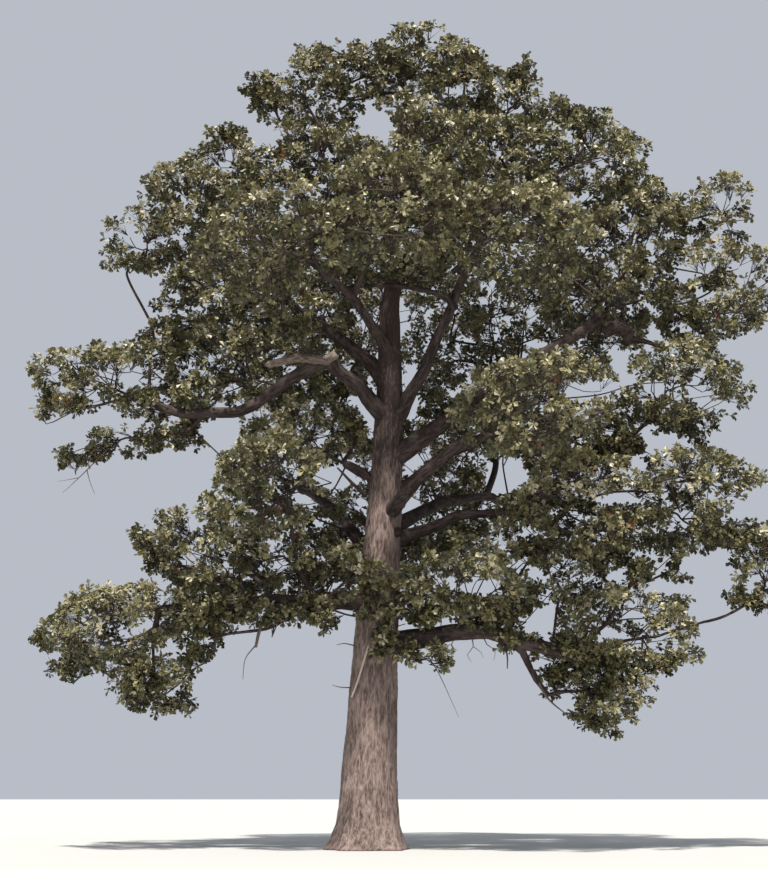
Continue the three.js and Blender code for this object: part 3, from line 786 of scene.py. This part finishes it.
class TubeSet:
    """Closed tubes of any thickness, gathered into one mesh."""

    def __init__(self):
        self.points, self.quads, self.caps, self.furrow, self.grain = [], [], [], [], []
        self.size = 0

    def add(self, line, widths, sides, relief=None):
        """relief gives, for the ring points in metres around and along, a factor and a furrow."""
        count = len(line)
        first, second = frames_along(line)
        angles = 2 * math.pi * np.arange(sides) / sides
        ring = (np.cos(angles)[None, :, None] * first[:, None]
                + np.sin(angles)[None, :, None] * second[:, None])
        steps = np.linalg.norm(np.diff(line, axis=0), axis=1)
        along = np.concatenate([[0], np.cumsum(steps)])
        if relief is None:
            factor = np.ones((count, sides))
            furrow = np.full((count, sides), PLAIN_FURROW)
        else:
            factor, furrow = relief(angles, along, widths)
        points = line[:, None] + ring * (widths[:, None] * factor)[..., None]
        self.points.append(points.reshape(-1, 3))
        self.furrow.append(furrow.ravel())
        self.grain.append(grain_around(angles, along + 3.1 * self.size, widths))
        self.quads.append(ring_quads(count, sides) + self.size)
        tip = line[-1] + unit(line[-1] - line[-2]) * widths[-1] * 0.6
        foot = line[0] - unit(line[1] - line[0]) * widths[0] * 0.2
        self.points.append(np.stack([tip, foot]))
        self.furrow.append(np.array([0.4, 0.4]))
        self.grain.append(np.zeros((2, 3)))
        start = np.arange(sides)
        end = (count - 1) * sides + start
        top = count * sides
        self.caps.append(cap_faces(end, top) + self.size)
        self.caps.append(cap_faces(start, top + 1)[:, [1, 0, 2]] + self.size)
        self.size += count * sides + 2

    def piece(self, name, material):
        """All the tubes as one piece, with what the relief of its bark needs."""
        return make_piece(
            name, np.concatenate(self.points), self.faces(), [material],
            furrow=np.concatenate(self.furrow), grain=np.concatenate(self.grain))

    def faces(self):
        return [np.concatenate(self.quads), np.concatenate(self.caps)]


def bark_relief(seed, depth, spacing, length, swelling=0.05):
    """Relief of long ridges and furrows: depth in metres, spacing around and length along."""

    def relief(angles, along, widths):
        factor = np.empty((len(along), len(angles)))
        furrow = np.empty_like(factor)
        for i, (place, width) in enumerate(zip(along, widths)):
            for j, angle in enumerate(angles):
                x = width * math.cos(angle) + seed
                y = width * math.sin(angle)
                warp = 0.35 * spacing * noise.noise(Vector((x * 3, y * 3, place * 2.2)))
                bent = Vector(((x + warp) / spacing, (y - warp) / spacing, place / length))
                ridge = noise.noise(bent)
                close = Vector((x / spacing * 2.3, y / spacing * 2.3, place / length * 2.6))
                fine = noise.noise(close)
                swell = noise.noise(Vector((x * 1.3, y * 1.3, place * 0.8)))
                height = 1 - abs(ridge) * 2.4 + 0.35 * fine
                height = max(0.0, min(1.0, height))
                furrow[i, j] = height
                factor[i, j] = 1 + (depth * (height - 0.6)) / width + swelling * swell
        return factor, furrow

    return relief


# Materials


def plain_material(name, color, roughness, specular=0.5):
    material = bpy.data.materials.new(name)
    material.use_nodes = True
    shader = material.node_tree.nodes["Principled BSDF"]
    shader.inputs["Base Color"].default_value = (*color, 1)
    shader.inputs["Roughness"].default_value = roughness
    shader.inputs["Specular IOR Level"].default_value = specular
    return material


def bark_material(name, dark, mid, light):
    """Bark: furrows and ridges that run along the limb, by the mesh's relief and a fine grain. On
    the trunk the relief's tone also carries painted shade towards the top.
    """
    material = bpy.data.materials.new(name)
    material.use_nodes = True
    nodes, links = material.node_tree.nodes, material.node_tree.links
    shader = nodes["Principled BSDF"]
    shader.inputs["Roughness"].default_value = 0.92
    shader.inputs["Specular IOR Level"].default_value = 0.2
    furrow = nodes.new("ShaderNodeAttribute")
    furrow.attribute_name = "furrow"
    grain = nodes.new("ShaderNodeAttribute")
    grain.attribute_name = "grain"
    stretch = nodes.new("ShaderNodeMapping")
    stretch.inputs["Scale"].default_value = (1.0, 1.0, 0.22)
    links.new(grain.outputs["Vector"], stretch.inputs["Vector"])

    def noise_at(vector, scale, detail, low, high):
        node = nodes.new("ShaderNodeTexNoise")
        node.inputs["Scale"].default_value = scale
        node.inputs["Detail"].default_value = detail
        links.new(vector, node.inputs["Vector"])
        spread = nodes.new("ShaderNodeMapRange")
        spread.inputs["From Min"].default_value = low
        spread.inputs["From Max"].default_value = high
        links.new(node.outputs["Fac"], spread.inputs["Value"])
        return spread.outputs["Result"]

    def weighed(first, share, second):
        node = nodes.new("ShaderNodeMix")
        node.inputs["Factor"].default_value = share
        links.new(first, node.inputs["A"])
        links.new(second, node.inputs["B"])
        return node.outputs["Result"]

    fine = noise_at(stretch.outputs["Vector"], 36.0, 5.0, 0.25, 0.75)
    patch = noise_at(grain.outputs["Vector"], 1.3, 3.0, 0.30, 0.70)
    ridges = weighed(furrow.outputs["Fac"], 0.62, fine)
    tone = weighed(ridges, 0.18, patch)
    ramp = nodes.new("ShaderNodeValToRGB")
    ramp.color_ramp.elements[0].color = (*dark, 1)
    ramp.color_ramp.elements[0].position = 0.18
    ramp.color_ramp.elements[1].color = (*light, 1)
    ramp.color_ramp.elements[1].position = 0.85
    middle = ramp.color_ramp.elements.new(0.45)
    middle.color = (*mid, 1)
    links.new(tone, ramp.inputs["Fac"])
    links.new(ramp.outputs["Color"], shader.inputs["Base Color"])
    bump = nodes.new("ShaderNodeBump")
    bump.inputs["Strength"].default_value = 0.7
    bump.inputs["Distance"].default_value = 0.025
    links.new(fine, bump.inputs["Height"])
    links.new(bump.outputs["Normal"], shader.inputs["Normal"])
    return material


BARK = bark_material(
    "oak_bark", (0.062, 0.044, 0.040), (0.185, 0.136, 0.121), (0.36, 0.275, 0.245))
# Painted shade: a darker copy of the trunk's bark, standing in for the crown's shade on the boughs,
# the thick branches, the side limbs, the burl and the knob
BOUGH_SHADE_BARK = bark_material(
    "bough_bark_shaded", (0.020, 0.014, 0.014), (0.052, 0.038, 0.036), (0.125, 0.094, 0.084))
STUB_WOOD = bark_material(
    "stub_wood", (0.075, 0.055, 0.047), (0.20, 0.155, 0.130), (0.42, 0.34, 0.29))
PALE_WOOD = plain_material("pale_wood", (0.55, 0.46, 0.40), 0.9, 0.2)
DEAD_WOOD = plain_material("dead_wood", (0.16, 0.125, 0.11), 0.9, 0.2)
TWIG_BARK = plain_material("twig_bark", (0.062, 0.046, 0.040), 0.85, 0.3)

# Leaf tones, each with its share of the sprays. The paler tones go mostly to sprays that face the
# sun and the deeper ones to sprays that face away:
# painted light and shade on top of the leaves' own spread of tones. The pale tone is partly the
# leaves' paler undersides and partly painted glint.
LEAF_TONES = [
    ("deep", (0.056, 0.052, 0.027), 0.19),
    ("dark", (0.094, 0.090, 0.042), 0.24),
    ("mid", (0.150, 0.139, 0.064), 0.25),
    ("olive", (0.218, 0.196, 0.093), 0.16),
    ("light", (0.290, 0.262, 0.140), 0.105),
    ("pale", (0.470, 0.428, 0.300), 0.045),
    ("rust", (0.260, 0.120, 0.050), 0.005),
]


# Trunk and limbs


def build_trunk():
    """The trunk with its flare, ridges and furrows, from the ground up to the leader's tip."""
    line, widths = smooth_line(trunk_centres, trunk_radii, TRUNK_STEP)
    line[:, 2] = np.maximum(line[:, 2], 0.0)
    line[0, 2] = 0.0
    heights = line[:, 2]
    sides = TRUNK_SIDES
    angles = 2 * math.pi * np.arange(sides) / sides
    factor, furrow = bark_relief(3.7, *TRUNK_RELIEF)(angles, heights, widths)
    # Painted shade: the bark's tone is darkened upwards into the leader, where the crown would
    # shade the trunk
    shade = np.clip((heights - SHADE_START) / (SHADE_FULL - SHADE_START), 0, 1)[:, None]
    furrow = furrow * (1 - 0.6 * shade) - SHADE_DEPTH * shade
    flare = np.exp(-heights / FLARE_FADE)[:, None]
    for height, number, turn in FLARE_LOBES:
        factor = factor + height * np.cos(number * angles + turn)[None] * flare
    ring = np.stack([np.cos(angles), np.sin(angles), np.zeros(sides)], -1)
    points = line[:, None] + ring[None] * (widths[:, None] * factor)[..., None]
    caps = np.concatenate([line[:1], line[-1:] + UP * 0.05])
    count = len(line)
    start = np.arange(sides)
    end = (count - 1) * sides + start
    foot = cap_faces(start, count * sides)[:, [1, 0, 2]]
    top = cap_faces(end, count * sides + 1)
    trunk = make_piece(
        "trunk_bark",
        np.concatenate([points.reshape(-1, 3), caps]),
        [ring_quads(count, sides), np.concatenate([foot, top])],
        [BARK],
        furrow=np.concatenate([furrow.ravel(), [0.5, 0.5]]),
        grain=np.concatenate([grain_around(angles, heights, widths), caps]),
    )
    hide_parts(TRUNK)


def crooked(rng, line, amount):
    """Small bends at the points of a young branch."""
    steps = np.linalg.norm(np.diff(line, axis=0), axis=1)
    wander = rng.normal(size=line.shape)
    wander = wander * amount * np.concatenate([[0], steps])[:, None]
    wander[-1] = 0
    return line + wander


def sinuous(curve, number):
    """The slight bends of an old bough, which fade out over the last metre at each end."""
    steps = np.linalg.norm(np.diff(curve, axis=0), axis=1)
    along = np.concatenate([[0], np.cumsum(steps)])
    bends = [noise.noise_vector(Vector((place * BOUGH_WAVE, number * 5.3, 0.0))) for place in along]
    fade = np.clip(np.minimum(along, along[-1] - along), 0, 1)
    return curve + BOUGH_BEND * fade[:, None] * np.array(bends)


def tapered(widths, fixed):
    """Widths that hardly ever grow outwards, shrink gently where they are free, and end fine."""
    for k in range(1, len(widths)):
        widths[k] = min(widths[k], widths[k - 1] * 1.02)
        if not fixed[k]:
            widths[k] = max(widths[k], widths[k - 1] * 0.62)
    widths[-1] = min(widths[-1], TIP_RADIUS)
    return widths


def build_limbs(rng, growth, live, radii, stub_ids):
    """The boughs and all branches that grow on from them, as tubes."""
    boughs, branches, slim, stubs = TubeSet(), TubeSet(), TubeSet(), TubeSet()
    leader_end = trunk_centres[-2][2] - 0.01
    for number, chain in enumerate(chains(growth, live, radii)):
        if chain[0] == 0:
            chain = [i for i in chain
                     if growth.fixed[i] is None or growth.place[i][2] > leader_end]
            if len(chain) < 2:
                continue
        line = np.array([growth.place[i] for i in chain])
        widths = radii[chain].copy()
        fixed = [growth.fixed[i] is not None for i in chain]
        parent = growth.parent[chain[0]]
        if not fixed[0] and parent >= 0:
            line = np.concatenate([[growth.place[parent]], line])
            collar = min(widths[0] * 1.25, 0.85 * radii[parent])
            widths = np.concatenate([[collar], widths])
            fixed = [False] + fixed
        if len(line) < 2:
            continue
        widths = tapered(widths, fixed)
        if fixed[0]:
            curve, size = smooth_line(line, widths, BOUGH_STEP)
            relief = bark_relief(number * 1.7, *BOUGH_RELIEF)
            tubes = stubs if chain[0] in stub_ids else boughs
            tubes.add(sinuous(curve, number), size, BOUGH_SIDES, relief)
        elif widths[0] > THICK_BRANCH:
            line = crooked(rng, line, BRANCH_CROOK)
            branches.add(*smooth_line(line, widths, BRANCH_STEP), BRANCH_SIDES)
        else:
            line = crooked(rng, line, BRANCHLET_CROOK)
            slim.add(*smooth_line(line, widths, BRANCHLET_STEP), BRANCHLET_SIDES)
    return boughs, branches, slim, stubs


# Sprays, twigs and leaves


def place_sprays(rng, centres, outward, radii, fullness, ends, growth):
    """Each clump's sprays: where they sit, how they point, and where their twigs start."""
    spots, starts, bends, clump = [], [], [], []
    for index in range(len(centres)):
        size = (radii[index] / MIDDLING_RADIUS) ** 2
        count = max(FEWEST_SPRAYS, int(round(SPRAYS_PER_CLUMP * size * fullness[index])))
        lean = unit(0.75 * outward[index] + 0.3 * UP)
        toward = unit(lean + 0.95 * random_directions(rng, count))
        reach = radii[index] * rng.uniform(0.45, 1.0, size=(count, 1))
        spot = centres[index] + toward * reach * CLUMP_SHAPE
        foot = growth.place[ends[index]]
        stem = centres[index] - foot
        start = foot + stem * rng.uniform(0.0, 0.85, size=(count, 1))
        middle = (start + spot) / 2 + 0.06 * rng.normal(size=(count, 3)) + 0.05 * UP
        spots.append(spot)
        starts.append(start)
        bends.append(middle)
        clump.append(np.full(count, index))
    return tuple(np.concatenate(group) for group in (spots, starts, bends, clump))


def build_twigs(starts, spots):
    """Three-sided twigs, each tapering from a branch to a point at its spray."""
    count = len(starts)
    heading = unit(spots - starts)
    first = across(heading, np.array([0.3, 0.2, 0.93]))
    second = np.cross(heading, first)
    angles = 2 * math.pi * np.arange(3) / 3
    ring = np.cos(angles)[:, None] * first[:, None] + np.sin(angles)[:, None] * second[:, None]
    points = np.concatenate([starts[:, None] + TWIG_ROOT * ring, spots[:, None]], 1)
    faces = np.array([[0, 2, 1], [0, 1, 3], [1, 2, 3], [2, 0, 3]])
    offset = (np.arange(count) * 4)[:, None, None]
    return points.reshape(-1, 3), (faces[None] + offset).reshape(-1, 3)


# Half outline of a leaf, narrow at its waist and broad at its shoulder, from stalk to tip:
# share of the length, share of half the width
LEAF_EDGE = [(0.40, 0.42), (0.70, 1.0)]


def leaf_template(fold, curl):
    """Points and triangles of one leaf of unit length. The blade is folded along its rib."""
    right = [(along, 0.5 * LEAF_WIDTH * wide) for along, wide in LEAF_EDGE]
    left = [(along, -wide) for along, wide in right]
    outline = [(0.0, 0.0), (1.0, 0.0)] + right + left
    points = [(wide, along, fold * abs(wide) - curl * along ** 2) for along, wide in outline]
    stalk, tip, waist, shoulder = 0, 1, 2, 3
    half = [(stalk, waist, tip), (waist, shoulder, tip)]
    mirror = {stalk: stalk, tip: tip, waist: 4, shoulder: 5}
    other = [(mirror[a], mirror[c], mirror[b]) for a, b, c in half]
    return np.array(points), np.array(half + other)


def build_leaves(rng, spots, headings, outward, tone):
    """Leaves in whorls at the ends of the twigs. Returns each leaf's points and its tone."""
    count = len(spots)
    per = LEAVES_PER_SPRAY
    turn = rng.uniform(0, 2 * math.pi, size=(count, 1)) + LEAF_TURN * np.arange(per)[None]
    side = across(headings)
    other = np.cross(headings, side)
    radial = np.cos(turn)[..., None] * side[:, None] + np.sin(turn)[..., None] * other[:, None]
    spread = rng.uniform(0.55, 1.25, size=(count, per, 1))
    axis = headings[:, None] * (1.25 - 0.6 * spread) + radial * spread
    axis = unit(axis + 0.16 * rng.normal(size=axis.shape) - 0.12 * UP)
    facing = unit(0.85 * UP + 0.45 * outward[:, None] + 0.5 * rng.normal(size=axis.shape))
    wide = unit(np.cross(axis, facing))
    face = np.cross(wide, axis)
    length = rng.uniform(*LEAF_LENGTH, size=(count, per))
    back = 0.15 * rng.random(size=(count, per, 1))
    base = spots[:, None] - headings[:, None] * back
    templates = np.stack([leaf_template(fold, curl)[0] for fold, curl in LEAF_BENDS])
    shapes = templates[rng.integers(0, len(templates), size=(count, per))]
    points = (base[..., None, :] + length[..., None, None] * (
        shapes[..., 0:1] * wide[..., None, :]
        + shapes[..., 1:2] * axis[..., None, :]
        + shapes[..., 2:3] * face[..., None, :]))
    return points.reshape(-1, points.shape[2], 3), np.repeat(tone, per)


def split_leaves(leaves, tones):
    """The leaves of each tone as one piece."""
    leaf_faces = leaf_template(*LEAF_BENDS[0])[1]
    pieces = []
    for index, (name, color, _) in enumerate(LEAF_TONES):
        chosen = leaves[tones == index]
        offset = (np.arange(len(chosen)) * leaves.shape[1])[:, None, None]
        faces = (leaf_faces[None] + offset).reshape(-1, 3)
        material = plain_material("leaf_" + name, color, 0.42, 0.5)
        pieces.append(make_piece(
            "leaves_" + name, chosen.reshape(-1, 3), [faces], [material], smooth=False))
    return pieces


# The tree


def deal_tones(rng, spots, headings, outward, clump):
    """A tone for each spray, partly at random by clump and spray and partly painted light and
    shade: paler where its clump's outside and the spray itself face the sun, deeper where they face
    away from it.
    """
    sunward = -unit(np.array(SUN_DIRECTION))
    mood = 0.10 * rng.normal(size=clump.max() + 1)[clump]
    # Painted light: sprays that face the sun, by their clump and their own heading, draw paler
    # tones
    painted_sunlight = 0.16 * (outward[clump] @ sunward) + 0.14 * (headings @ sunward)
    draw = rng.random(len(spots)) + mood + painted_sunlight
    rank = np.argsort(np.argsort(draw)) / len(draw)
    shares = np.cumsum([share for _, _, share in LEAF_TONES[:-1]])
    tone = np.searchsorted(shares, rank * shares[-1])
    tone[rng.random(len(spots)) < LEAF_TONES[-1][2]] = len(LEAF_TONES) - 1
    return tone


def on_trunk(height, degrees, off=0.0):
    """A point on the trunk's bark, or off it, at a height and an angle."""
    heights = trunk_centres[:, 2]
    centre = np.array([np.interp(height, heights, trunk_centres[:, k]) for k in range(3)])
    radius = np.interp(height, heights, trunk_radii) + off
    angle = math.radians(degrees)
    return centre + radius * np.array([math.cos(angle), math.sin(angle), 0.0])


def build_side_limbs(boughs):
    """The smaller limbs with a place of their own, the burl and the trunk's knob."""
    for number, (points, root, tip) in enumerate(SIDE_LIMBS):
        curve, size = smooth_line(points, np.linspace(root, tip, len(points)), 0.09)
        boughs.add(curve, size, 10, bark_relief(50 + number, *SIDE_LIMB_RELIEF))
    curve, size = smooth_line(BURL, BURL_RADII, 0.06)
    boughs.add(curve, size, 16, bark_relief(71.0, *BURL_RELIEF))
    foot = on_trunk(KNOB_HEIGHT, KNOB_ANGLE, KNOB_SUNK)
    crest = on_trunk(KNOB_HEIGHT + KNOB_RISE, KNOB_ANGLE, KNOB_PROUD)
    curve, size = smooth_line([foot, crest], KNOB_RADII, 0.04)
    boughs.add(curve, size, 14, bark_relief(83.0, *KNOB_RELIEF))


def build_dead_wood():
    """Broken stubs and bare twigs, and the pale vine that clings to the trunk."""
    sticks, vine = TubeSet(), TubeSet()
    for points, root, tip in DEAD_STICKS:
        curve, size = smooth_line(points, np.linspace(root, tip, len(points)), 0.12)
        sticks.add(curve, size, 6)
    points = [on_trunk(height, angle, 0.02) for height, angle in VINE]
    curve, size = smooth_line(points, np.full(len(points), VINE_RADIUS), 0.08)
    vine.add(curve, size, 7)
    make_piece("dead_wood", np.concatenate(sticks.points), sticks.faces(), [DEAD_WOOD])
    make_piece("pale_vine", np.concatenate(vine.points), vine.faces(), [PALE_WOOD])


def build_tree():
    """The whole tree: clumps, the branches that reach them, and the wood, twigs and leaves."""
    rng = np.random.default_rng(SEED)
    noise.seed_set(SEED)  # without it the clock seeds noise_vector
    masses = [Mass(name) for name in MASSES]
    groups = zip(scatter_clumps(rng, masses), scatter_limb_foliage(rng))
    centres, outward, radii, fullness = (np.concatenate(pair) for pair in groups)
    clear = ~shows_sky(centres)
    centres, outward, radii, fullness = (
        values[clear] for values in (centres, outward, radii, fullness))
    relays = np.concatenate([scatter_relays(rng, masses), DROOP_WAY])
    feet = centres - outward * (0.75 * radii)[:, None] - UP * CLUMP_HANG
    growth, limb_ids = plant_limbs()
    ids = grow(growth, np.concatenate([relays, feet]))
    ends = ids[len(relays):]
    live = prune(growth, ends)
    limb_radii = pipe_radii(growth, live, ends)
    relax(growth, live, limb_radii, ids[:len(relays)])

    build_trunk()
    boughs, branches, slim, stubs = build_limbs(rng, growth, live, limb_radii, limb_ids[STUB])
    build_side_limbs(boughs)
    build_dead_wood()
    # The boughs and thick branches take the darker bark copy: painted shade
    bough_bark_shaded = boughs.piece("bough_bark_shaded", BOUGH_SHADE_BARK)
    branches.piece("branch_bark", BOUGH_SHADE_BARK)
    slim.piece("branchlet_bark", TWIG_BARK)
    stubs.piece("stub_wood", STUB_WOOD)
    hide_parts(*LIMBS[1:])

    sprays = place_sprays(rng, centres, outward, radii, fullness, ends, growth)
    clear = ~shows_sky(sprays[0], -0.05)
    spots, starts, bends, clump = (values[clear] for values in sprays)
    points, faces = build_twigs(starts, spots)
    make_piece("twigs", points, [faces], [TWIG_BARK])

    headings = unit(spots - bends)
    tone = deal_tones(rng, spots, headings, outward, clump)
    leaves = split_leaves(*build_leaves(rng, spots, headings, outward[clump], tone))
    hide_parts(*MASSES)


# Stage, light and camera


def build_stage():
    """A pale floor, even light from all round and one soft sun."""
    size = 400.0
    corners = [(-size, -size, 0), (size, -size, 0), (size, size, 0), (-size, size, 0)]
    mesh = bpy.data.meshes.new("floor")
    mesh.from_pydata(corners, [], [(0, 1, 2, 3)])
    floor = bpy.data.objects.new("floor", mesh)
    bpy.context.scene.collection.objects.link(floor)
    mesh.materials.append(plain_material("floor", (0.50, 0.50, 0.49), 0.95, 0.05))
    floor.location.z = -0.002

    world = bpy.data.worlds.new("studio")
    world.use_nodes = True
    world.node_tree.nodes["Background"].inputs["Color"].default_value = (0.80, 0.85, 0.95, 1)
    world.node_tree.nodes["Background"].inputs["Strength"].default_value = 0.60
    bpy.context.scene.world = world

    sun = bpy.data.lights.new("key", "SUN")
    sun.energy = 5.9
    sun.angle = math.radians(2.5)
    sun.color = (1.0, 0.96, 0.88)
    key = bpy.data.objects.new("key", sun)
    key.rotation_euler = Vector(SUN_DIRECTION).to_track_quat("-Z", "Y").to_euler()
    bpy.context.scene.collection.objects.link(key)


def build_camera():
    """The camera, at a grown person's eye height, tilted up."""
    camera = bpy.data.cameras.new("camera")
    camera.sensor_width = SENSOR
    camera.lens = CAMERA_LENS
    camera.clip_end = 2000
    obj = bpy.data.objects.new("camera", camera)
    obj.location = CAMERA_PLACE
    obj.rotation_euler = (math.radians(90 + CAMERA_PITCH), 0, 0)
    bpy.context.scene.collection.objects.link(obj)
    bpy.context.scene.camera = obj


bpy.context.scene.view_settings.view_transform = "Standard"
build_camera()
build_stage()
build_tree()
